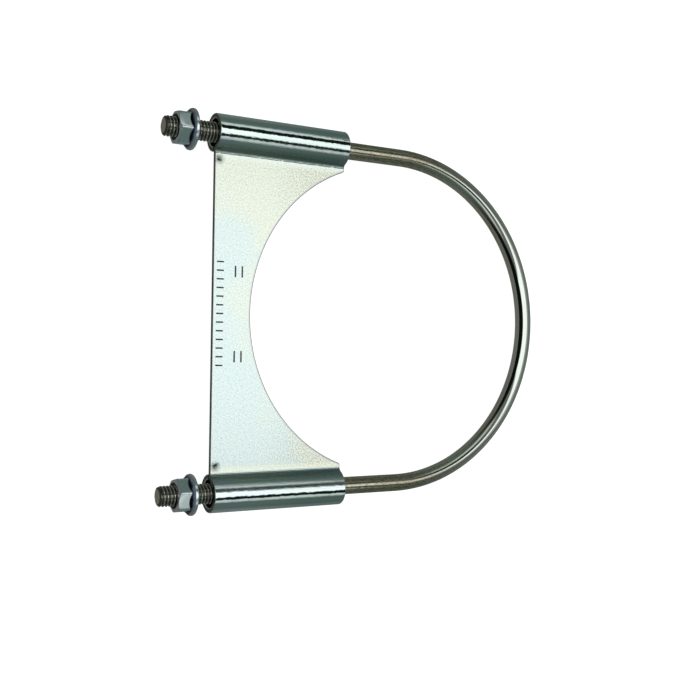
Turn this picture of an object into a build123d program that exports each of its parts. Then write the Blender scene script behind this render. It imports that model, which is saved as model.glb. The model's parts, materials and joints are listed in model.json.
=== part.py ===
from build123d import *
import os
from math import asin, degrees, radians, sqrt, tan

# A guillotine-style U-bolt clamp for a 6 in pipe, lying flat and run open.
# Millimetres. The origin is the centre of the saddle's arc, and the pipe's axis is +Z.
# +X runs along the legs towards the bend, and +Y across them, so +Y is the left leg.

# Pipe and legs
pipe_radius = 152.4 / 2            # 6 in pipe
leg_y = 165.1 / 2                  # half the distance between the legs' centre lines
leg_sides = {"left": 1, "right": -1}

# Rod, with 3/8-16 threads rolled on a blank of about the pitch diameter
shank_radius = 8.5 / 2
thread_radius = 9.42 / 2           # over the crests
thread_length = 66.0
end_chamfer = 1.0
thread_runout = 0.4

# Saddle: one strip of sheet, rolled into a sleeve at each end
sheet_thickness = 2.4
sleeve_radius = 17.6 / 2           # outside
sleeve_length = 67.6
rear_x = -94.8                     # the saddle's straight edge and its sleeves' nut ends
web_mid_z = sheet_thickness / 2    # the web's lower face is level with the legs' axes
neck_radius = 1.5                  # bend from the web's top face up on to the sleeve
seam_angle = 2.5                   # degrees between the web's plane and the end of the roll
tip_radius = 1.0                   # corners of the web's blunt tips, seen from above

# U-bolt at rest, with its bend standing off the pipe
bend_centre_x = 6.4
leg_end_x = -118.9

# Hex flange nuts, backed off the sleeves, and by a different amount on each leg
nut_gap = {"left": 10.1, "right": 7.8}
nut_turn = {"left": 8, "right": -14}   # degrees, where each nut's corners stand
nut_flats = 14.29                  # 9/16 in across flats
nut_height = 8.7
nut_clearance = 0.05               # radial, on the thread's crests
bore_chamfer = 0.9
face_circle = 6.8                  # radius of the flat ring on the nut's outer end
corner_slope = 30                  # degrees, the turned corners there
flange_radius = 19.0 / 2
flange_rim = 1.3                   # thickness at the rim
flange_slope = 45                  # degrees, the top of the flange
rim_round = 0.5

os.makedirs("parts", exist_ok=True)


# --- Saddle: the strip's cross-section, pushed along the legs, less the pipe's arc ---

roll_radius = sleeve_radius - sheet_thickness / 2
neck_bend = neck_radius + sheet_thickness / 2
neck_z = web_mid_z + neck_bend
neck_y = leg_y - sqrt((roll_radius + neck_bend) ** 2 - neck_z ** 2)
neck_angle = degrees(asin(neck_z / (roll_radius + neck_bend)))
roll_sweep = 360 - neck_angle - seam_angle

with BuildPart() as saddle:
    with BuildSketch(Plane.YZ.offset(rear_x)) as strip:
        with BuildLine() as middle_line:
            Line((0, web_mid_z), (neck_y, web_mid_z))
            CenterArc((neck_y, neck_z), neck_bend, -90, 90 - neck_angle)
            CenterArc((leg_y, 0), roll_radius, 180 - neck_angle, -roll_sweep)
        trace(line_width=sheet_thickness)
        mirror(about=Plane.YZ)
    extrude(amount=sleeve_length)
    with BuildSketch(Plane.XY.offset(-sleeve_radius)) as pipe_outline:
        Circle(pipe_radius)
    extrude(amount=2 * sleeve_radius, mode=Mode.SUBTRACT)
    front_edges = saddle.edges().filter_by(Axis.Z).group_by(Axis.X)[-1]
    tip_corners = front_edges.sort_by(Axis.Y)
    fillet([tip_corners[0], tip_corners[-1]], radius=tip_radius)
saddle.part.label = "saddle"
export_step(saddle.part, "parts/saddle.step")


# --- U-bolt: one bent rod, whose rolled threads stand proud of it on both legs ---

with BuildPart() as u_bolt:
    with BuildLine() as rod_line:
        Line((leg_end_x, leg_y), (bend_centre_x, leg_y))
        CenterArc((bend_centre_x, 0), leg_y, 90, -180)
        Line((bend_centre_x, -leg_y), (leg_end_x, -leg_y))
    with BuildSketch(Plane.YZ.offset(leg_end_x)) as rod_section:
        with Locations((leg_y, 0)):
            Circle(shank_radius)
    sweep(path=rod_line.wire())
    with BuildSketch(Plane.YZ.offset(leg_end_x)) as thread_section:
        with Locations((leg_y, 0), (-leg_y, 0)):
            Circle(thread_radius)
    extrude(amount=thread_length)
    circles = u_bolt.edges().filter_by(GeomType.CIRCLE)
    crest_circles = circles.filter_by(lambda edge: abs(edge.radius - thread_radius) < 0.01)
    chamfer(crest_circles.group_by(Axis.X)[0], length=end_chamfer)
    chamfer(crest_circles.group_by(Axis.X)[-1], length=thread_runout)
u_bolt.part.label = "u_bolt"
export_step(u_bolt.part, "parts/u_bolt.step")


# --- Flange nuts: a hexagon with turned corners, on a cone with a rounded rim ---

bore_radius = thread_radius + nut_clearance
corner_radius = nut_flats / sqrt(3)
corner_drop = (corner_radius - face_circle) * tan(radians(corner_slope))
flange_top = flange_rim + (flange_radius - bore_radius) / tan(radians(flange_slope))

for side_name, side in leg_sides.items():
    bearing_x = rear_x - nut_gap[side_name]
    end_x = bearing_x - nut_height
    nut_y = side * leg_y
    leg_axis = Axis((0, nut_y, 0), (1, 0, 0))
    with BuildPart() as nut:
        with BuildSketch(Plane.YZ.offset(end_x)) as hexagon:
            with Locations((nut_y, 0)):
                RegularPolygon(nut_flats / 2, 6, major_radius=False, rotation=30 + nut_turn[side_name])
        extrude(amount=nut_height)
        with BuildSketch(Plane.XY) as turned_outline:
            with BuildLine():
                Polyline(
                    (end_x, nut_y),
                    (end_x, nut_y + face_circle),
                    (end_x + corner_drop, nut_y + corner_radius),
                    (bearing_x, nut_y + corner_radius),
                    (bearing_x, nut_y),
                    close=True,
                )
            make_face()
        revolve(axis=leg_axis, mode=Mode.INTERSECT)
        with BuildSketch(Plane.XY) as flange_outline:
            with BuildLine():
                Polyline(
                    (bearing_x, nut_y + bore_radius),
                    (bearing_x, nut_y + flange_radius),
                    (bearing_x - flange_rim, nut_y + flange_radius),
                    (bearing_x - flange_top, nut_y + bore_radius),
                    close=True,
                )
            make_face()
            fillet(flange_outline.vertices().group_by(Axis.Y)[-1], radius=rim_round)
        revolve(axis=leg_axis)
        with BuildSketch(Plane.YZ.offset(end_x)) as bore_outline:
            with Locations((nut_y, 0)):
                Circle(bore_radius)
        extrude(amount=nut_height, mode=Mode.SUBTRACT)
        circles = nut.edges().filter_by(GeomType.CIRCLE)
        chamfer(circles.filter_by(lambda edge: edge.radius < bore_radius + 0.01), length=bore_chamfer)
    nut.part.label = f"flange_nut_{side_name}"
    export_step(nut.part, f"parts/flange_nut_{side_name}.step")
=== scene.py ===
import json
from math import asin, atan2, cos, pi, radians, sin, sqrt

import bpy
from mathutils import Matrix, Vector


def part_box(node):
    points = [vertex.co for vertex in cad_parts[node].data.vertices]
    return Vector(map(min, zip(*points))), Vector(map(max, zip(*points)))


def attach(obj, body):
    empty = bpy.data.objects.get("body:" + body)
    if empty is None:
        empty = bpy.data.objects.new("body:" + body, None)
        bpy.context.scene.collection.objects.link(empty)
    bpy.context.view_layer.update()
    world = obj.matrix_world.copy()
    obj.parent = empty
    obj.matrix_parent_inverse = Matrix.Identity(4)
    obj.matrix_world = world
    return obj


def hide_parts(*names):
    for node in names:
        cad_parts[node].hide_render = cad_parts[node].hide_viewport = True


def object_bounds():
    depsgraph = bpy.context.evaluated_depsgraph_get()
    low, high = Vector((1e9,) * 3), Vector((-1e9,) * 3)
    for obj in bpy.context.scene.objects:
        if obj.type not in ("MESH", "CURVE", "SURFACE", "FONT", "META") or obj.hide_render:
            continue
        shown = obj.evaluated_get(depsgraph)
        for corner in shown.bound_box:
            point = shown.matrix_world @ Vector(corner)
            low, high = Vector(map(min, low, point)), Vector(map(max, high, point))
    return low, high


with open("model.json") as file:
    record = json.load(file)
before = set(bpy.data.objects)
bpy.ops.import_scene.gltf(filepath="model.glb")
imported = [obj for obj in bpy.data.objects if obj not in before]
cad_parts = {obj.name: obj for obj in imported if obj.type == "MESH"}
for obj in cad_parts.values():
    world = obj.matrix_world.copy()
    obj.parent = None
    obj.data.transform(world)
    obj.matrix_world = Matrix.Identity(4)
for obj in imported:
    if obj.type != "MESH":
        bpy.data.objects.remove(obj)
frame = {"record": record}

# The clamp's looks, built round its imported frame. Lengths are in metres, or millimetres times MM.
MM = 0.001
cad_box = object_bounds()

# ---------------------------------------------------------------- sizes read from the frame

saddle_low, saddle_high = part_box("saddle")
rod_low, rod_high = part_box("u_bolt")
mounts = {mount["name"]: mount for mount in frame["record"]["mounts"]}

PIPE_RADIUS = mounts["pipe_seat"]["dims"]["r_mm"] * MM
SHEET = mounts["pipe_seat"]["dims"]["length_mm"] * MM      # the sheet's thickness
REAR_X, FRONT_X = saddle_low.x, saddle_high.x
SLEEVE_RADIUS = saddle_high.z
LEG_Y = saddle_high.y - SLEEVE_RADIUS
LEG_END_X = rod_low.x
THREAD_RADIUS = rod_high.z
FLOOR_Z = cad_box[0].z

# ---------------------------------------------------------------- sizes that the frame doesn't give

# The saddle
NECK_RADIUS = 1.5 * MM                 # bend from the web's top face up on to the sleeve
SEAM_ANGLE = radians(2.5)              # between the web's plane and the end of the roll
TIP_RADIUS = 1.0 * MM                  # the web's blunt tips
SHEET_EDGE = 0.40 * MM                 # worn round of the sheet's cut edges
EDGE_MARGIN = 0.08 * MM                # flat strip of mesh beside that round
LEAST_FACING = 0.36                    # least that a slanted edge is taken to face along X
SLEEVE_LEAN = {1: 0.09 * MM, -1: 0.28 * MM}    # how far the roll is out of round, by side
ROLL = SLEEVE_RADIUS - SHEET / 2       # radii of the sheet's middle line in the sleeve and the neck
NECK = NECK_RADIUS + SHEET / 2
NECK_Z = SHEET / 2 + NECK
NECK_Y = LEG_Y - sqrt((ROLL + NECK) ** 2 - NECK_Z ** 2)    # where the web starts to bend

# The marks in the web: two pairs of bars, a row of ticks and two dents
STROKE, SINK = 0.45 * MM, 0.24 * MM
BARS_X, BAR_OFFSET, BAR_HALF = REAR_X + 12.5 * MM, 1.7 * MM, 2.3 * MM
BAR_PAIRS_Y = (19.3 * MM, -19.9 * MM)
TICKS_X, TICK_HALF, TICK_STROKE = REAR_X + 3.3 * MM, 1.5 * MM, 0.9 * STROKE
TICK_COUNT, FIRST_TICK_MM, TICK_STEP_MM = 13, -24, 3.95
DENTS = [(REAR_X + 1.9 * MM, 70.4 * MM), (REAR_X + 2.2 * MM, -70.2 * MM)]
DENT_DEPTH, DENT_RADIUS = 0.10 * MM, 4.5 * MM

# The U-bolt
SHANK_RADIUS = 4.25 * MM
BEND_X = rod_high.x - LEG_Y - SHANK_RADIUS
THREAD_LENGTH = 66 * MM
PITCH = 25.4 / 16 * MM
THREAD_DEPTH = 0.52 * MM
THREAD_CREST, THREAD_ROOT = 0.125, 0.167       # widths, as shares of the pitch
THREAD_RUNOUT = 2.5 * MM
END_ROUND = 1.4 * MM
END_DISH = 0.048 * MM                  # depth of the end face at its middle
AROUND = 40                            # points round the rod

# The nuts
NUT_FLATS = 14.29 * MM
NUT_CORNER = 1.1 * MM                  # round of the hexagon's corners
NUT_TURN = {"left": radians(8), "right": radians(-14)}
FACE_CIRCLE = 6.8 * MM                 # radius of the flat outer face
FACE_SLOPE = 0.577                     # of the chamfer outside it
FLANGE_RIM = 1.3 * MM
RIM_ROUND = 0.5 * MM
BORE_RADIUS = THREAD_RADIUS + 0.05 * MM
BORE_CHAMFER = 1.2 * MM

# The same places as the materials see them, in millimetres
PIPE_MM, NECK_MM, LEG_MM, BEND_MM = PIPE_RADIUS / MM, NECK_Y / MM, LEG_Y / MM, BEND_X / MM
REAR_MM, FRONT_MM, THREAD_MM = REAR_X / MM, FRONT_X / MM, THREAD_RADIUS / MM

# Kinds of face on each piece: the places of its materials in its list
PLATING, SHEARED = 0, 1
CUTS_GROOVE, CUTS_DENT = 0, 1
SHANK, THREAD, CUT_END = 0, 1, 2
NUT_PLATE, NUT_BORE = 0, 1


# ---------------------------------------------------------------- mesh helpers

def add_to_scene(name, data):
    """A new object in the scene."""
    item = bpy.data.objects.new(name, data)
    bpy.context.scene.collection.objects.link(item)
    return item


def make_piece(name, verts, faces, materials, kinds, sharp):
    """A smooth-shaded mesh object, with edges sharper than an angle in degrees left sharp."""
    mesh = bpy.data.meshes.new(name)
    mesh.from_pydata(verts, [], faces)
    mesh.validate()
    piece = add_to_scene(name, mesh)
    for material in materials:
        mesh.materials.append(material)
    mesh.polygons.foreach_set("material_index", kinds)
    mesh.shade_smooth()
    mesh.set_sharp_from_angle(angle=radians(sharp))
    return piece


def spread(start, end, count):
    """count values from start to end, both included."""
    return [start + (end - start) * i / (count - 1) for i in range(count)]


def ring_quads(rings, around, first=0):
    """The quads between closed rings of points, each as (here, next, above next, above here)."""
    quads = []
    for ring in range(rings - 1):
        base = first + ring * around
        for k in range(around):
            a, b = base + k, base + (k + 1) % around
            quads.append((a, b, b + around, a + around))
    return quads


def round_leg(side, x, reach, angle):
    """The point at a distance and an angle from one leg's centre line."""
    return x, side * LEG_Y + reach * cos(angle), reach * sin(angle)


# ---------------------------------------------------------------- material helpers

class Nodes:
    """Adds shader nodes to one tree, with numbers, colours or sockets as inputs."""

    def __init__(self, tree):
        self.tree = tree

    def add(self, kind, settings=None, **inputs):
        node = self.tree.nodes.new(kind)
        for key, value in (settings or {}).items():
            setattr(node, key, value)
        for key, value in inputs.items():
            self.put(node.inputs[key.replace("_", " ")], value)
        return node

    def put(self, socket, value):
        if isinstance(value, bpy.types.NodeSocket):
            self.tree.links.new(value, socket)
        else:
            socket.default_value = value

    def math(self, operation, *values):
        node = self.tree.nodes.new("ShaderNodeMath")
        node.operation = operation
        for socket, value in zip(node.inputs, values):
            self.put(socket, value)
        return node.outputs[0]

    def plus(self, a, b):
        return self.math("ADD", a, b)

    def minus(self, a, b):
        return self.math("SUBTRACT", a, b)

    def times(self, a, b):
        return self.math("MULTIPLY", a, b)

    def larger(self, a, b):
        return self.math("MAXIMUM", a, b)

    def size(self, value):
        return self.math("ABSOLUTE", value)

    def distance(self, a, b):
        """The length of a vector with sides a and b."""
        return self.math("SQRT", self.plus(self.math("POWER", a, 2.0), self.math("POWER", b, 2.0)))

    def smooth(self, value, low, high, to_low=0.0, to_high=1.0):
        """value's smooth step from low to high."""
        node = self.add("ShaderNodeMapRange", {"interpolation_type": "SMOOTHSTEP"})
        for key, entry in zip(("Value", "From Min", "From Max", "To Min", "To Max"),
                              (value, low, high, to_low, to_high)):
            self.put(node.inputs[key], entry)
        return node.outputs["Result"]

    def mix(self, factor, a, b):
        """A colour between a and b."""
        return self.between("RGBA", factor, a, b)

    def blend(self, factor, a, b):
        """A number between a and b."""
        return self.between("FLOAT", factor, a, b)

    def between(self, data_type, factor, a, b):
        node = self.add("ShaderNodeMix", {"data_type": data_type})
        self.put(node.inputs["Factor"], factor)
        self.put(node.inputs["A"], a)
        self.put(node.inputs["B"], b)
        return node.outputs["Result"]

    def place(self):
        """The object coordinates in millimetres, and each of them alone."""
        coords = self.add("ShaderNodeTexCoord").outputs["Object"]
        scaled = self.add("ShaderNodeVectorMath", {"operation": "SCALE"})
        self.put(scaled.inputs[0], coords)
        self.put(scaled.inputs["Scale"], 1 / MM)
        split = self.add("ShaderNodeSeparateXYZ", Vector=scaled.outputs[0])
        return scaled.outputs[0], split.outputs["X"], split.outputs["Y"], split.outputs["Z"]

    def from_leg(self, y, z):
        """The distance from the nearer leg's centre line."""
        return self.distance(self.minus(self.size(y), LEG_MM), z)

    def vector(self, x, y, z):
        return self.add("ShaderNodeCombineXYZ", X=x, Y=y, Z=z).outputs["Vector"]

    def stretch(self, vector, x, y, z):
        return self.add("ShaderNodeMapping", Vector=vector, Scale=(x, y, z)).outputs["Vector"]

    def noise(self, vector, scale, detail=2.0, roughness=0.5):
        node = self.add("ShaderNodeTexNoise", Vector=vector, Scale=scale, Detail=detail,
                        Roughness=roughness)
        return node.outputs["Fac"]

    def bump(self, height, strength, distance):
        node = self.add("ShaderNodeBump", Height=height, Strength=strength, Distance=distance)
        return node.outputs["Normal"]


def metal(name):
    """A metallic material and its node helper and shader."""
    material = bpy.data.materials.new(name)
    material.use_nodes = True
    shader = material.node_tree.nodes["Principled BSDF"]
    shader.inputs["Metallic"].default_value = 1.0
    return material, Nodes(material.node_tree), shader


def grey(level):
    return (level, level, level, 1)


# ---------------------------------------------------------------- the saddle's materials

def plated_sheet():
    """Bright zinc, clear passivated: grainy and pale on the flat web, glossy on the sleeves."""
    material, n, shader = metal("plated_sheet")
    neck_shade_colour = (0.07, 0.09, 0.08, 1)
    point, x, y, z = n.place()
    across = n.size(y)
    sleeve = n.smooth(across, NECK_MM - 0.6, NECK_MM - 0.1)
    grain = n.noise(point, 1.25, 4.0, 0.85)
    drawn = n.noise(n.stretch(point, 0.015, 1.6, 1.6), 1.0, 3.0, 0.6)
    ragged = n.noise(n.stretch(point, 0.5, 0.9, 0.9), 1.0, 1.0, 0.5)

    web = web_colour(n, point, x, y, grain)
    plate = n.mix(sleeve, web, sleeve_colour(n, point, x, y, z, drawn))
    # Painted shade along the neck, stronger on the +Y side.
    line = n.times(painted_neck_shade(n, point, across), n.smooth(y, -40, 40, 0.2, 0.97))
    plate = n.mix(line, plate, neck_shade_colour)
    n.put(shader.inputs["Base Color"], plate)
    n.put(shader.inputs["Metallic"], n.smooth(sleeve, 0.0, 1.0, 0.98, 1.0))

    web_rough = n.smooth(grain, 0.3, 0.7, 0.24, 0.17)
    web_side = n.smooth(y, -10, 10, 0.13, 0.05)
    web_side = n.smooth(across, LEG_MM - 2.2, LEG_MM + 0.2, web_side, 0.0)
    sleeve_rough = n.plus(n.smooth(drawn, 0.3, 0.7, 0.09, 0.05), web_side)
    n.put(shader.inputs["Roughness"], n.blend(sleeve, web_rough, sleeve_rough))

    sleeve_height = n.plus(n.times(drawn, 0.2), n.times(ragged, 1.7))
    height = n.blend(sleeve, n.times(grain, 0.3), sleeve_height)
    n.put(shader.inputs["Normal"], n.bump(height, 1.0, 0.02 * MM))
    return material


def web_colour(n, point, x, y, grain):
    """Grain and specks on a cool plate, stained yellow in places and soiled where it is handled."""
    cool, stained, speck_dirt_and_cone_shade = (0.815, 0.895, 0.915, 1), (0.94, 0.91, 0.78, 1), (0.34, 0.35, 0.28, 1)
    grain_dark, handled_dark = (0.66, 0.73, 0.70, 1), (0.46, 0.49, 0.44, 1)
    crease_right, crease_left = (0.97, 0.95, 0.80, 1), (0.92, 0.95, 0.88, 1)
    rim_colour, dent_shade_colour = (0.52, 0.50, 0.53, 1), (0.05, 0.06, 0.055, 1)
    across = n.size(y)

    stain = n.noise(point, 0.03, 4.0, 0.6)
    stain = n.plus(stain, n.times(n.larger(y, -20.0), 0.0035))
    stain = n.plus(stain, n.times(grain, 0.12))
    stain = n.smooth(n.plus(stain, n.smooth(x, -95, -30, 0.0, 0.34)), 0.54, 0.90)
    tint = n.mix(stain, cool, stained)
    handled = n.times(n.smooth(x, -72, -40), n.smooth(across, 35, 62))
    web = n.mix(n.smooth(grain, 0.34, 0.60), n.mix(handled, grain_dark, handled_dark), tint)
    speck = n.smooth(n.noise(point, 1.7, 1.0), n.blend(handled, 0.70, 0.64), 0.77)
    web = n.mix(speck, web, speck_dirt_and_cone_shade)

    crease = n.times(n.smooth(across, NECK_MM - 4.0, NECK_MM - 0.6), 0.8)
    web = n.mix(crease, web, n.mix(n.smooth(y, -40, 40), crease_right, crease_left))
    rim = n.smooth(n.distance(x, y), PIPE_MM + 0.45, PIPE_MM + 1.15, 0.8, 0.0)
    web = n.mix(rim, web, rim_colour)
    # Painted shade in and round the two dents.
    return n.mix(painted_dent_shade(n, x, y), web, dent_shade_colour)


def painted_dent_shade(n, x, y):
    """How far a point is inside the painted shade in and round the dents that the sheet's rear
    corners carry.
    """
    shade = None
    for dent_x, dent_y in DENTS:
        away = n.distance(n.minus(x, dent_x / MM), n.minus(y, dent_y / MM))
        away = n.plus(away, n.times(n.noise(n.vector(x, y, 0.0), 1.2, 2.0), 2.0))
        spot = n.smooth(away, 0.8, 4.6, 0.92, 0.0)
        shade = spot if shade is None else n.larger(shade, spot)
    return shade


def sleeve_colour(n, point, x, y, z, drawn):
    """Drawn lines along the roll and a bluish bloom, with painted shade that darkens the sides
    towards the front and the corner by the web.
    """
    line_dark, line_light = (0.66, 0.75, 0.72, 1), (0.90, 0.96, 0.93, 1)
    bloom_colour, forward_shade_colour = (0.80, 0.82, 0.93, 1), (0.46, 0.58, 0.60, 1)
    corner_shade_colour, pit_colour = (0.08, 0.13, 0.10, 1), (0.26, 0.30, 0.28, 1)
    across = n.size(y)

    colour = n.mix(n.smooth(drawn, 0.30, 0.70), line_dark, line_light)
    bloom = n.noise(n.stretch(point, 0.03, 0.12, 0.12), 1.0, 2.0, 0.5)
    colour = n.mix(n.smooth(bloom, 0.48, 0.66, 0.0, 0.7), colour, bloom_colour)
    # Painted shade: the sleeve's sides are darker towards the front.
    side_on = n.smooth(n.size(n.minus(across, LEG_MM)), 3.0, 7.0)
    forward = n.times(n.smooth(x, REAR_MM + 8, FRONT_MM - 8), side_on)
    colour = n.mix(n.times(forward, 0.75), colour, forward_shade_colour)
    # Painted shade in the corner where the sleeve's upper side meets the web.
    corner = n.smooth(across, NECK_MM + 1.6, NECK_MM + 4.6, 0.55, 0.0)
    corner = n.times(corner, n.smooth(z, 2.0, 3.4))
    colour = n.mix(corner, colour, corner_shade_colour)
    pits = n.smooth(n.noise(point, 1.7, 1.0), 0.74, 0.80)
    return n.mix(pits, colour, pit_colour)


def painted_neck_shade(n, point, across):
    """The broken line of painted shade where the web bends up on to the sleeve."""
    wander = n.noise(n.stretch(point, 0.35, 0.2, 0.2), 1.0, 2.0)
    wander = n.plus(across, n.times(wander, 0.6))
    line = n.smooth(wander, NECK_MM - 0.12, NECK_MM + 0.08)
    line = n.times(line, n.smooth(wander, NECK_MM + 0.32, NECK_MM + 0.52, 1.0, 0.0))
    broken = n.noise(n.stretch(point, 0.45, 0.2, 0.2), 1.0, 2.0)
    return n.times(line, n.smooth(broken, 0.30, 0.44))


def sheared_edge():
    """The sheet's cut edge: torn, darker metal with fine marks through its thickness."""
    material, n, shader = metal("sheared_edge")
    dark, light = (0.06, 0.09, 0.08, 1), (0.28, 0.34, 0.31, 1)
    point, *_ = n.place()
    tears = n.noise(n.stretch(point, 3.0, 3.0, 0.3), 1.0, 3.0, 0.7)
    n.put(shader.inputs["Base Color"], n.mix(tears, dark, light))
    n.put(shader.inputs["Roughness"], n.smooth(tears, 0.3, 0.7, 0.5, 0.3))
    n.put(shader.inputs["Normal"], n.bump(tears, 0.6, 0.05 * MM))
    return material


def stamped_groove():
    """The floor of a stamped mark, coloured dark."""
    material, n, shader = metal("stamped_groove")
    dark, light = (0.06, 0.075, 0.07, 1), (0.16, 0.19, 0.18, 1)
    point, *_ = n.place()
    dirt = n.noise(point, 2.0, 2.0)
    n.put(shader.inputs["Base Color"], n.mix(dirt, dark, light))
    n.put(shader.inputs["Roughness"], n.smooth(dirt, 0.3, 0.7, 0.55, 0.4))
    return material


# ---------------------------------------------------------------- the U-bolt's materials

def oiled_rod():
    """Drawn steel: a brown oil film on the legs that is rubbed bright round the bend."""
    material, n, shader = metal("oiled_rod")
    brown_dark, brown_light = (0.33, 0.285, 0.185, 1), (0.63, 0.565, 0.44, 1)
    bright_dark, bright_light = (0.62, 0.63, 0.58, 1), (0.88, 0.89, 0.85, 1)
    bright_gloss, oily_gloss = (0.95, 0.97, 0.90, 1), (0.75, 0.62, 0.40, 1)
    point, x, y, z = n.place()

    past_bend = n.larger(n.minus(x, BEND_MM), 0.0)
    off_axis = n.distance(past_bend, y)
    lines = n.noise(n.vector(off_axis, z, n.times(x, 0.01)), 2.2, 3.0, 0.65)
    blotch = n.noise(n.stretch(point, 0.06, 0.25, 0.25), 1.0, 3.0, 0.6)
    mottle = n.noise(n.stretch(point, 0.5, 1.2, 1.2), 1.0, 3.0, 0.7)

    film = n.smooth(past_bend, 2.0, 60.0, 1.0, 0.0)
    inner = n.smooth(off_axis, LEG_MM - 3.5, LEG_MM + 0.5, 0.45, 0.0)
    film = n.larger(film, n.times(inner, n.smooth(past_bend, 60.0, 80.0, 1.0, 0.0)))
    film = n.times(film, n.smooth(blotch, 0.25, 0.75, 0.75, 1.0))

    brown = n.mix(n.smooth(mottle, 0.35, 0.65), brown_dark, brown_light)
    bright = n.mix(n.smooth(lines, 0.25, 0.6), bright_dark, bright_light)
    n.put(shader.inputs["Base Color"], n.mix(film, bright, brown))
    n.put(shader.inputs["Roughness"], n.smooth(film, 0.0, 1.0, 0.08, 0.20))
    n.put(shader.inputs["Specular Tint"], n.mix(film, bright_gloss, oily_gloss))
    n.put(shader.inputs["Normal"], n.bump(lines, 0.35, 0.02 * MM))
    return material


def rolled_thread():
    """The rolled threads: dark oiled steel with painted shade in the roots, and crests rubbed
    lighter.
    """
    material, n, shader = metal("rolled_thread")
    oil_and_root_shade_colour, crest_colour = (0.17, 0.16, 0.13, 1), (1.0, 0.97, 0.88, 1)
    point, _, y, z = n.place()
    grime = n.noise(point, 0.9, 4.0, 0.7)
    # Crests are rubbed lighter. The roots keep the dark colour, which is partly oil and partly
    # painted shade.
    crest = n.smooth(n.from_leg(y, z), THREAD_MM - 0.35, THREAD_MM - 0.02)
    crest = n.times(crest, n.smooth(grime, 0.35, 0.65, 0.25, 1.0))
    n.put(shader.inputs["Base Color"], n.mix(crest, oil_and_root_shade_colour, crest_colour))
    n.put(shader.inputs["Roughness"], n.smooth(grime, 0.3, 0.7, 0.30, 0.14))
    n.put(shader.inputs["Normal"], n.bump(grime, 0.4, 0.04 * MM))
    return material


def cut_end():
    """The rod's sheared end, with saw lines across it."""
    material, n, shader = metal("cut_end")
    dark, light = (0.55, 0.53, 0.45, 1), (1.0, 0.98, 0.88, 1)
    point, *_ = n.place()
    saw = n.noise(n.stretch(point, 1, 0.5, 4.0), 1.0, 3.0, 0.7)
    n.put(shader.inputs["Base Color"], n.mix(n.smooth(saw, 0.3, 0.7), dark, light))
    n.put(shader.inputs["Roughness"], n.smooth(saw, 0.3, 0.7, 0.5, 0.35))
    n.put(shader.inputs["Normal"], n.bump(saw, 0.6, 0.05 * MM))
    return material


# ---------------------------------------------------------------- the nuts' materials

def plated_nut():
    """Blue-grey zinc on cold-formed nuts, mottled, with painted reflection and shade on the
    flange's cone: bluish, and black next to the hexagon.
    """
    material, n, shader = metal("plated_nut")
    plate_dark, plate_light = (0.87, 0.93, 1.0, 1), (0.96, 1.0, 1.0, 1)
    cone_shade_black, cone_painted_reflection = (0.02, 0.03, 0.05, 1), (0.62, 0.70, 0.84, 1)
    point, _, y, z = n.place()
    mottle = n.noise(point, 0.35, 4.0, 0.6)
    grain = n.noise(point, 3.5, 2.0)

    normal = n.add("ShaderNodeNewGeometry").outputs["True Normal"]
    facing = n.size(n.add("ShaderNodeSeparateXYZ", Vector=normal).outputs["X"])
    # Painted reflection and shade on the flange's cone, black where it meets the hexagon.
    cone = n.times(n.smooth(facing, 0.45, 0.6), n.smooth(facing, 0.74, 0.80, 1.0, 0.0))
    corner = n.plus(n.from_leg(y, z), n.times(mottle, 1.2))
    speck_dirt_and_cone_shade = n.mix(n.smooth(corner, 8.7, 9.5), cone_shade_black, cone_painted_reflection)

    plate = n.mix(n.smooth(mottle, 0.3, 0.7), plate_dark, plate_light)
    n.put(shader.inputs["Base Color"], n.mix(cone, plate, speck_dirt_and_cone_shade))
    n.put(shader.inputs["Roughness"], n.smooth(mottle, 0.3, 0.7, 0.25, 0.16))
    shader.inputs["Specular Tint"].default_value = (0.85, 0.88, 1.0, 1)
    n.put(shader.inputs["Normal"], n.bump(grain, 0.3, 0.006 * MM))
    return material


def nut_bore():
    """The nuts' tapped bores and countersinks, painted dark as shade."""
    material, n, shader = metal("nut_bore")
    dark, light = (0.03, 0.035, 0.04, 1), (0.14, 0.15, 0.16, 1)
    point, *_ = n.place()
    oil = n.noise(point, 1.2, 3.0, 0.6)
    n.put(shader.inputs["Base Color"], n.mix(oil, dark, light))
    n.put(shader.inputs["Roughness"], n.smooth(oil, 0.3, 0.7, 0.5, 0.3))
    return material


# ---------------------------------------------------------------- the saddle

def saddle_path():
    """The sheet's middle line across the clamp, each point as (y, z, normal y, normal z)."""
    arc_step, tip_steps, flat_steps, neck_points, roll_points = 1.6 * MM, 7, 4, 7, 110
    neck_angle = asin(NECK_Z / (ROLL + NECK))
    arc_end, corner_end = front_corner()
    stops = [0.0, arc_end, corner_end, NECK_Y]
    counts = [int(arc_end / arc_step), tip_steps, flat_steps]
    halves = {1: [], -1: []}
    for side, half in halves.items():
        for low, high, count in zip(stops, stops[1:], counts):
            half += [(y, SHEET / 2, 0.0, 1.0) for y in spread(low, high, count + 1)[:-1]]
        for angle in spread(0, pi / 2 - neck_angle, neck_points)[:-1]:
            half.append((NECK_Y + NECK * sin(angle), NECK_Z - NECK * cos(angle),
                         -sin(angle), cos(angle)))
        for angle in spread(pi - neck_angle, SEAM_ANGLE - pi, roll_points):
            lean = SLEEVE_LEAN[side] * sin(2 * angle) if angle > 0 else 0.0
            out = ROLL + lean
            half.append((LEG_Y + out * cos(angle), out * sin(angle), cos(angle), sin(angle)))
    mirrored = [(-y, z, -ny, nz) for y, z, ny, nz in reversed(halves[-1][1:])]
    return mirrored + halves[1]


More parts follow.
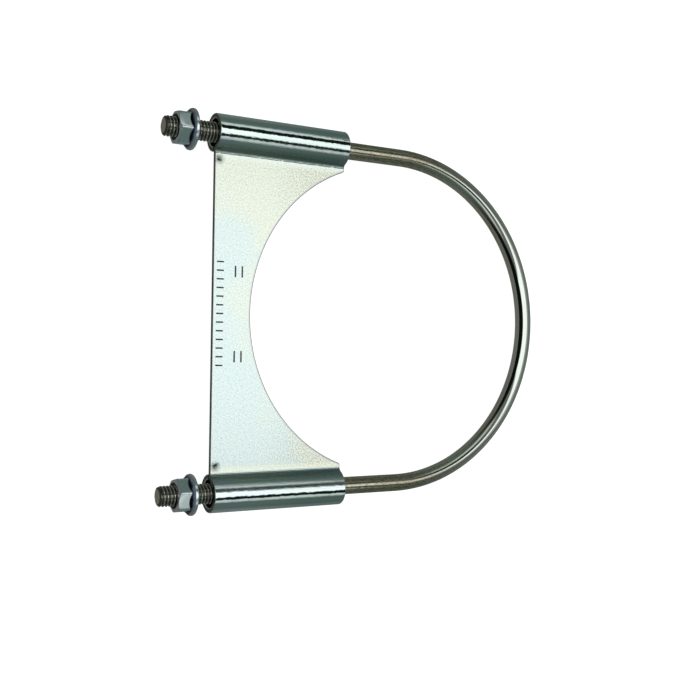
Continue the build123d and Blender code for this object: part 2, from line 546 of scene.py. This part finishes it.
def front_corner():
    """The web's blunt tip: (y where the arc ends, y where the rounded corner ends)."""
    centre_x = FRONT_X - TIP_RADIUS
    centre_y = sqrt((PIPE_RADIUS + TIP_RADIUS) ** 2 - centre_x ** 2)
    return centre_y * PIPE_RADIUS / (PIPE_RADIUS + TIP_RADIUS), centre_y


def front_edge(y):
    """The sheet's front edge at y: (x, how squarely it faces along X)."""
    arc_end, corner_end = front_corner()
    y = abs(y)
    if y <= arc_end:
        x = -sqrt(PIPE_RADIUS ** 2 - y ** 2)
        return x, -x / PIPE_RADIUS
    if y < corner_end:
        reach = sqrt(TIP_RADIUS ** 2 - (y - corner_end) ** 2)
        return FRONT_X - TIP_RADIUS + reach, reach / TIP_RADIUS
    return FRONT_X, 1.0


def edge_steps():
    """Distances from a cut edge and the sheet's half thickness there, for its round."""
    steps = [(SHEET_EDGE * (1 - cos(angle)), SHEET / 2 - SHEET_EDGE * (1 - sin(angle)))
             for angle in spread(0, pi / 2, 5)]
    return steps + [(SHEET_EDGE + EDGE_MARGIN, SHEET / 2)]


def build_saddle(materials):
    """The sheet: sections across the clamp, from its rear edge to its front edge."""
    path = saddle_path()
    rounds = edge_steps()
    margin = rounds[-1][0]
    middle = 14
    stations = len(rounds) * 2 + middle
    verts = []
    for j in range(stations):
        for side, points in ((1, path), (-1, path[::-1])):
            for y, z, ny, nz in points:
                front_x, facing = front_edge(y)
                facing = max(facing, LEAST_FACING)
                if j < len(rounds):
                    away, half = rounds[j]
                    x = REAR_X + away
                elif j >= stations - len(rounds):
                    away, half = rounds[stations - 1 - j]
                    x = front_x - away / facing
                else:
                    half = SHEET / 2
                    share = (j - len(rounds) + 1) / (middle + 1)
                    x = REAR_X + margin + (front_x - margin / facing - REAR_X - margin) * share
                verts.append((x, y + side * ny * half, z + side * nz * half))
    ring = 2 * len(path)
    faces = ring_quads(stations, ring)
    ends_of_roll = (len(path) - 1, ring - 1)
    kinds = [SHEARED if i % ring in ends_of_roll else PLATING for i in range(len(faces))]
    last = (stations - 1) * ring
    for near in range(len(path) - 1):
        far = ring - 1 - near
        faces.append((near + 1, near, far, far - 1))
        faces.append((last + near, last + near + 1, last + far - 1, last + far))
        kinds += [SHEARED, SHEARED]
    return make_piece("saddle_sheet", verts, faces, materials, kinds, sharp=30)


def capsule(centre, half_length, along_y, radius):
    """A short rod with round ends, lying along X or Y."""
    around, cap = 12, 4
    turns = spread(0, pi / 2, cap + 1)
    stations = [(-half_length - radius * cos(a), radius * sin(a)) for a in turns]
    stations += [(half_length + radius * sin(a), radius * cos(a)) for a in turns]
    stations = stations[1:-1]
    verts = []
    for along, reach in stations:
        for k in range(around):
            angle = 2 * pi * k / around
            side, up = reach * cos(angle), reach * sin(angle)
            offset = Vector((side, along, up)) if along_y else Vector((along, -side, up))
            verts.append(tuple(centre + offset))
    faces = [(a, d, c, b) for a, b, c, d in ring_quads(len(stations), around)]
    faces.append(tuple(range(around)))
    faces.append(tuple(reversed(range(len(verts) - around, len(verts)))))
    return verts, faces


def ball(centre, radius):
    """A sphere, whose lowest part presses a dent."""
    around, rows = 40, 40
    verts = [tuple(centre + Vector((0, 0, -radius)))]
    for i in range(1, rows):
        polar = pi * i / rows
        for k in range(around):
            angle = 2 * pi * k / around
            outward = (sin(polar) * cos(angle), sin(polar) * sin(angle), -cos(polar))
            verts.append(tuple(centre + Vector(outward) * radius))
    verts.append(tuple(centre + Vector((0, 0, radius))))
    top = len(verts) - 1
    faces = []
    for k in range(around):
        after = (k + 1) % around
        faces.append((0, 1 + after, 1 + k))
        faces.append((top, top - around + k, top - around + after))
    return verts, faces + ring_quads(rows - 1, around, first=1)


def stamp(sheet, groove_material, plating_material):
    """Presses the plain generic marks and the two dents into the web's top face."""
    shapes = []
    level = SHEET - SINK + STROKE
    for centre_y in BAR_PAIRS_Y:
        for offset in (-BAR_OFFSET, BAR_OFFSET):
            centre = Vector((BARS_X + offset, centre_y, level))
            shapes.append((capsule(centre, BAR_HALF, True, STROKE), CUTS_GROOVE))
    for i in range(TICK_COUNT):
        centre = Vector((TICKS_X, (FIRST_TICK_MM + TICK_STEP_MM * i) * MM, level))
        shapes.append((capsule(centre, TICK_HALF, False, TICK_STROKE), CUTS_GROOVE))
    for dent_x, dent_y in DENTS:
        centre = Vector((dent_x, dent_y, SHEET - DENT_DEPTH + DENT_RADIUS))
        shapes.append((ball(centre, DENT_RADIUS), CUTS_DENT))
    verts, faces, kinds = join_parts(shapes)
    cutter = make_piece("cutter", verts, faces, [groove_material, plating_material], kinds,
                        sharp=35)
    cut = sheet.modifiers.new("marks", "BOOLEAN")
    cut.operation = "DIFFERENCE"
    cut.solver = "EXACT"
    cut.material_mode = "TRANSFER"
    cut.object = cutter
    graph = bpy.context.evaluated_depsgraph_get()
    stamped = bpy.data.meshes.new_from_object(sheet.evaluated_get(graph))
    sheet.modifiers.remove(cut)
    sheet.data = stamped
    stamped.set_sharp_from_angle(angle=radians(30))
    bpy.data.objects.remove(cutter)


def join_parts(parts):
    """One list of points, faces and kinds from parts that are each ((points, faces), kind)."""
    verts, faces, kinds = [], [], []
    for (points, polygons), kind in parts:
        base = len(verts)
        verts += points
        faces += [tuple(base + v for v in polygon) for polygon in polygons]
        kinds += [kind] * len(polygons)
    return verts, faces, kinds


# ---------------------------------------------------------------- the U-bolt

def thread_profile():
    """(share of the pitch, depth below the crest) once round a rolled 60 degree thread."""
    crest, root = THREAD_CREST, THREAD_ROOT
    flank = (1 - crest - root) / 2
    return [
        (0.0, 0.0),
        (crest, 0.0),
        (crest + flank * 0.5, THREAD_DEPTH * 0.5),
        (crest + flank, THREAD_DEPTH * 0.96),
        (crest + flank + root / 2, THREAD_DEPTH),
        (crest + flank + root, THREAD_DEPTH * 0.96),
        (1 - flank * 0.5, THREAD_DEPTH * 0.5),
    ]


def thread_radius(along, depth):
    """The thread's surface at a distance along the leg, between its round end and its run-out."""
    radius = THREAD_RADIUS - depth
    if along < END_ROUND:
        left = 1 - along / END_ROUND
        radius = min(radius, THREAD_RADIUS - END_ROUND * (1 - sqrt(1 - left ** 2)))
    into = (along - (THREAD_LENGTH - THREAD_RUNOUT)) / THREAD_RUNOUT
    if into > 0:
        radius += (SHANK_RADIUS - radius) * min(into, 1)
    return radius


def leg_threads(side):
    """One leg's thread: rows of points along right-hand helices, cut square at both ends."""
    profile = thread_profile()
    rows = len(profile)
    turns = int(THREAD_LENGTH / PITCH) + 2
    verts, faces = [], []
    for i in range(-rows, turns * rows):
        share, depth = profile[i % rows]
        for k in range(AROUND):
            along = PITCH * (i // rows + share + k / AROUND)
            along = min(max(along, 0.0), THREAD_LENGTH)
            radius = thread_radius(along, depth)
            verts.append(round_leg(side, LEG_END_X + along, radius, 2 * pi * k / AROUND))
    total = (turns + 1) * rows
    for i in range(total - 1):
        for k in range(AROUND):
            a, d = i * AROUND + k, (i + 1) * AROUND + k
            if k + 1 < AROUND:
                b, c = a + 1, d + 1
            elif i + 1 + rows < total:
                b, c = (i + rows) * AROUND, (i + 1 + rows) * AROUND
            else:
                continue
            faces.append((a, b, c, d))
    return verts, faces


def leg_cap(side):
    """The leg's end face, a shallow dish inside its rounded rim."""
    rim = THREAD_RADIUS - END_ROUND
    shares = (1.0, 0.93, 0.6, 0.25)
    verts = []
    for share in shares:
        sunk = END_DISH * (1 - 0.3 * share) if share < 1.0 else 0.0
        for k in range(AROUND):
            verts.append(round_leg(side, LEG_END_X + sunk, rim * share, 2 * pi * k / AROUND))
    faces = [(b, a, d, c) for a, b, c, d in ring_quads(len(shares), AROUND)]
    faces.append(tuple(reversed(range(len(verts) - AROUND, len(verts)))))
    return verts, faces


def bent_shank():
    """The plain rod from one thread's end, round the bend, to the other's."""
    leg_points, bend_points = 8, 121
    start = LEG_END_X + THREAD_LENGTH
    stations = [(x, LEG_Y, 0.0, 1.0) for x in spread(start, BEND_X, leg_points)[:-1]]
    for angle in spread(0, pi, bend_points):
        stations.append((BEND_X + LEG_Y * sin(angle), LEG_Y * cos(angle), sin(angle), cos(angle)))
    stations += [(x, -LEG_Y, 0.0, -1.0) for x in spread(BEND_X, start, leg_points)[1:]]
    verts = []
    for x, y, out_x, out_y in stations:
        for k in range(AROUND):
            angle = 2 * pi * k / AROUND
            reach = SHANK_RADIUS * cos(angle)
            verts.append((x + out_x * reach, y + out_y * reach, SHANK_RADIUS * sin(angle)))
    return verts, [(b, a, d, c) for a, b, c, d in ring_quads(len(stations), AROUND)]


def build_rod(materials):
    """The whole U-bolt: shank, threads and end faces joined into one mesh."""
    parts = [(bent_shank(), SHANK)]
    for side in (1, -1):
        parts += [(leg_threads(side), THREAD), (leg_cap(side), CUT_END)]
    verts, faces, kinds = join_parts(parts)
    return make_piece("bent_rod", verts, faces, materials, kinds, sharp=32)


# ---------------------------------------------------------------- the nuts

def hexagon_angles():
    """(angle from a corner, radius) once round the nut's rounded hexagon."""
    corner_points, flat_steps = 5, 10
    apothem = NUT_FLATS / 2
    corner = (apothem - NUT_CORNER) / cos(pi / 6)
    touch = atan2(NUT_CORNER * sin(pi / 6), corner + NUT_CORNER * cos(pi / 6))
    along_flat = [touch + (pi / 3 - 2 * touch) * i / flat_steps for i in range(1, flat_steps)]
    places = []
    for k in range(6):
        for delta in spread(-touch, touch, corner_points) + along_flat:
            if abs(delta) <= touch:
                radius = corner * cos(delta) + sqrt(NUT_CORNER ** 2 - (corner * sin(delta)) ** 2)
            else:
                radius = apothem / cos(delta - pi / 6)
            places.append((k * pi / 3 + delta, radius))
    return places


def nut_outline(radius, flange_radius, height):
    """The nut's outline at one angle, as (distance from the outer end, radius), bore to bore."""
    drop = max(radius - FACE_CIRCLE, 0) * FACE_SLOPE
    slope_start = height - FLANGE_RIM
    meet = slope_start - (flange_radius - radius)
    cone_end = flange_radius - RIM_ROUND * (1 - cos(pi / 4))
    bevel = RIM_ROUND * 0.3
    points = [
        (BORE_CHAMFER, BORE_RADIUS),
        (0, BORE_RADIUS + BORE_CHAMFER),
        (0, FACE_CIRCLE - 0.1 * MM),
    ]
    for share in (0.05, 0.5, 0.9):
        points.append((drop * share, FACE_CIRCLE + (radius - FACE_CIRCLE) * share))
    points += [
        (drop + 0.14 * MM, radius),
        (drop + (meet - drop) * 0.5, radius),
        (meet - 0.15 * MM, radius),
        (meet + 0.08 * MM, radius + 0.12 * MM),
        (slope_start + (cone_end - flange_radius), cone_end),
        (slope_start + RIM_ROUND, flange_radius),
        (height - RIM_ROUND, flange_radius),
        (height - bevel, flange_radius - bevel),
        (height, flange_radius - RIM_ROUND),
        (height, BORE_RADIUS + BORE_CHAMFER),
        (height - BORE_CHAMFER, BORE_RADIUS),
    ]
    return points


def build_nut(name, side, materials):
    """One nut, its outline swept round the hexagon."""
    low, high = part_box(f"flange_nut_{name}")
    height, flange_radius = high.x - low.x, high.z
    places = hexagon_angles()
    verts = []
    for angle, radius in places:
        turned = angle + pi / 2 + NUT_TURN[name]
        for along, reach in nut_outline(radius, flange_radius, height):
            verts.append(round_leg(side, low.x + along, reach, turned))
    rows = len(verts) // len(places)
    faces, kinds = [], []
    for k in range(len(places)):
        here, there = k * rows, (k + 1) % len(places) * rows
        for i in range(rows):
            j = (i + 1) % rows
            faces.append((here + i, here + j, there + j, there + i))
            kinds.append(NUT_BORE if i in (0, rows - 2, rows - 1) else NUT_PLATE)
    return make_piece(f"hex_flange_nut_{name}", verts, faces, materials, kinds, sharp=24)


# ---------------------------------------------------------------- floor, light and camera

FLOOR_REACH = 6.0
WASH_SIZE, WASH_HEIGHT, WASH_POWER = 3.0, 1.6, 30
CAMERA_PLACE = Vector((-265.359, -20.433, 418.697)) * MM
CAMERA_TILT, CAMERA_LEAN, CAMERA_ROLL = radians(30.274), radians(-0.061), radians(-0.981)
CAMERA_LENS, CAMERA_SENSOR = 50.45, 36


def build_floor():
    """A pale matt floor that the metal doesn't mirror."""
    low, high = -FLOOR_REACH, FLOOR_REACH
    corners = [(low, low), (high, low), (high, high), (low, high)]
    mesh = bpy.data.meshes.new("floor")
    mesh.from_pydata([(x, y, FLOOR_Z) for x, y in corners], [], [(0, 1, 2, 3)])
    floor = add_to_scene("floor", mesh)
    material = bpy.data.materials.new("pale_floor")
    material.use_nodes = True
    shader = material.node_tree.nodes["Principled BSDF"]
    shader.inputs["Base Color"].default_value = grey(0.30)
    shader.inputs["Emission Color"].default_value = grey(1)
    shader.inputs["Emission Strength"].default_value = 0.92
    shader.inputs["Roughness"].default_value = 0.9
    shader.inputs["Specular IOR Level"].default_value = 0.0
    mesh.materials.append(material)
    floor.visible_glossy = False


def build_world():
    """A studio for the metal to mirror, in degrees from straight up, and white to the camera."""
    world = bpy.data.worlds.new("studio")
    bpy.context.scene.world = world
    world.use_nodes = True
    n = Nodes(world.node_tree)
    world.node_tree.nodes.clear()
    coords = n.add("ShaderNodeTexCoord").outputs["Generated"]
    split = n.add("ShaderNodeSeparateXYZ", Vector=coords)
    x, y, z = split.outputs["X"], split.outputs["Y"], split.outputs["Z"]
    down = n.math("DEGREES", n.math("ARCCOSINE", z))
    scale = n.math("DIVIDE", down, n.larger(n.distance(x, y), 1e-4))
    to_x, to_y = n.times(x, scale), n.times(y, scale)

    def span(value, low, high, soft_low, soft_high):
        """1 between low and high, fading to 0 over the soft widths outside them."""
        rising = n.smooth(value, low - soft_low, low)
        falling = n.smooth(value, high, high + soft_high, 1.0, 0.0)
        return n.times(rising, falling)

    # The room: its walls, with a dark band behind the saddle, and what shows from below
    walls, dark_wall = (0.092, 0.134, 0.118, 1), grey(0.006)
    rear_wall, front_wall = (0.14, 0.16, 0.16, 1), (0.15, 0.17, 0.16, 1)
    low_rear, low_front = (0.145, 0.15, 0.13, 1), (0.16, 0.20, 0.195, 1)
    room = n.mix(n.smooth(to_x, -42, -2), dark_wall, walls)
    room = n.mix(n.smooth(to_x, -58, -44, 1.0, 0.0), room, rear_wall)
    room = n.mix(n.smooth(to_x, 54, 72), room, front_wall)
    underside = n.mix(n.smooth(to_x, 20, 70), low_rear, low_front)
    light = n.mix(n.smooth(down, 112, 88), underside, room)

    # The overhead panel and what lies beside it, which widen towards the saddle
    slant = n.larger(n.minus(27.0, to_x), 0.0)
    side = n.size(n.minus(to_y, 3.0))
    near = n.minus(side, n.times(slant, 0.14))
    far = n.minus(n.size(n.minus(to_y, 5.0)), n.times(slant, 0.18))
    panel, panel_end = (1.10, 1.18, 1.15, 1), (0.30, 0.33, 0.31, 1)
    gap, black_gap = (0.14, 0.16, 0.15, 1), (0.004, 0.009, 0.007, 1)
    strips = (0.60, 0.67, 0.65, 1)
    # Each patch: its span in to_x, the distance off the middle and its span, and the colour.
    # A span is low, high and the soft widths outside them.
    patches = [
        ((34, 44, 4, 22), side, (-90, 8, 1, 14), panel_end),
        ((-25, 36, 12, 14), near, (14.0, 42, 2, 2.5), gap),
        ((18, 36, 16, 14), near, (14.0, 42, 2, 2.5), black_gap),
        ((-16, 30, 12, 22), far, (33, 38, 3, 15), strips),
        ((-31, 33, 8, 9), near, (-90, 11.0, 1, 4), panel),
    ]
    for to_x_span, off, off_span, colour in patches:
        patch = n.times(span(to_x, *to_x_span), span(off, *off_span))
        light = n.mix(patch, light, colour)

    seen = n.add("ShaderNodeLightPath").outputs["Is Camera Ray"]
    background = n.add("ShaderNodeBackground", Color=n.mix(seen, light, grey(1.0)))
    output = n.add("ShaderNodeOutputWorld")
    n.put(output.inputs["Surface"], background.outputs[0])


def build_wash():
    """A broad soft light for the floor, which the metal doesn't mirror."""
    lamp = bpy.data.lights.new("wash", "AREA")
    lamp.shape = "SQUARE"
    lamp.size = WASH_SIZE
    lamp.energy = WASH_POWER
    wash = add_to_scene("wash", lamp)
    wash.location = (0, 0, WASH_HEIGHT)
    wash.visible_glossy = False


def build_camera():
    """The camera stands above the threaded ends and looks down along the legs."""
    data = bpy.data.cameras.new("camera")
    data.lens = CAMERA_LENS
    data.sensor_width = CAMERA_SENSOR
    data.clip_start, data.clip_end = 0.01, 50
    camera = add_to_scene("camera", data)
    turn = (Matrix.Rotation(-CAMERA_ROLL, 4, "Z") @ Matrix.Rotation(-CAMERA_TILT, 4, "Y")
            @ Matrix.Rotation(-CAMERA_LEAN, 4, "X"))
    camera.matrix_world = Matrix.Translation(CAMERA_PLACE) @ turn
    bpy.context.scene.camera = camera


def build_card(name, corners, shading):
    """A card in the studio that only reflections see."""
    mesh = bpy.data.meshes.new(name)
    mesh.from_pydata(corners, [], [(0, 1, 2, 3)])
    card = add_to_scene(name, mesh)
    material = bpy.data.materials.new(name)
    material.use_nodes = True
    n = Nodes(material.node_tree)
    material.node_tree.nodes.clear()
    n.put(n.add("ShaderNodeOutputMaterial").inputs["Surface"], shading(n))
    mesh.materials.append(material)
    card.visible_camera = False
    card.visible_diffuse = False
    card.visible_shadow = False
    card.visible_transmission = False


def build_dim_card():
    """Ends the overhead panel in what the bend mirrors."""
    near_x, far_x, reach_y, height = 0.212, 0.52, 0.5, 0.30
    near_tone, far_tone = (0.46, 0.48, 0.45, 1), (0.115, 0.125, 0.115, 1)
    fade_mm, side_fade_mm = 300, (60, 130)

    def shading(n):
        _, x, y, _ = n.place()
        fade = n.smooth(x, near_x / MM, near_x / MM + fade_mm)
        fade = n.larger(fade, n.smooth(n.size(y), *side_fade_mm))
        return n.add("ShaderNodeEmission", Color=n.mix(fade, near_tone, far_tone)).outputs[0]

    corners = [(near_x, -reach_y), (far_x, -reach_y), (far_x, reach_y), (near_x, reach_y)]
    build_card("dim_card", [(x, y, height) for x, y in corners], shading)


def build_black_card():
    """Stands across the opening: black to the bend's inner side, and clear to the saddle."""
    place_x, reach_y, low, high = -0.002, 0.062, -0.004, 0.098

    def shading(n):
        black = n.add("ShaderNodeEmission", Color=(0.004, 0.005, 0.004, 1))
        clear = n.add("ShaderNodeBsdfTransparent")
        behind = n.add("ShaderNodeNewGeometry").outputs["Backfacing"]
        pick = n.add("ShaderNodeMixShader", Fac=behind)
        n.put(pick.inputs[1], black.outputs[0])
        n.put(pick.inputs[2], clear.outputs[0])
        return pick.outputs[0]

    corners = [(-reach_y, low), (reach_y, low), (reach_y, high), (-reach_y, high)]
    build_card("black_card", [(place_x, y, z) for y, z in corners], shading)


# ---------------------------------------------------------------- everything in place

groove = stamped_groove()
plating = plated_sheet()
sheet = build_saddle([plating, sheared_edge(), groove])
stamp(sheet, groove, plating)
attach(sheet, "saddle")
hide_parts("saddle")

rod = build_rod([oiled_rod(), rolled_thread(), cut_end()])
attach(rod, "u_bolt")
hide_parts("u_bolt")

nut_material, bore_material = plated_nut(), nut_bore()
for nut_name, nut_side in (("left", 1), ("right", -1)):
    nut = build_nut(nut_name, nut_side, [nut_material, bore_material])
    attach(nut, f"{nut_name}_nut")
    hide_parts(f"flange_nut_{nut_name}")

build_floor()
build_world()
build_wash()
build_dim_card()
build_black_card()
build_camera()
bpy.context.scene.view_settings.view_transform = "Standard"
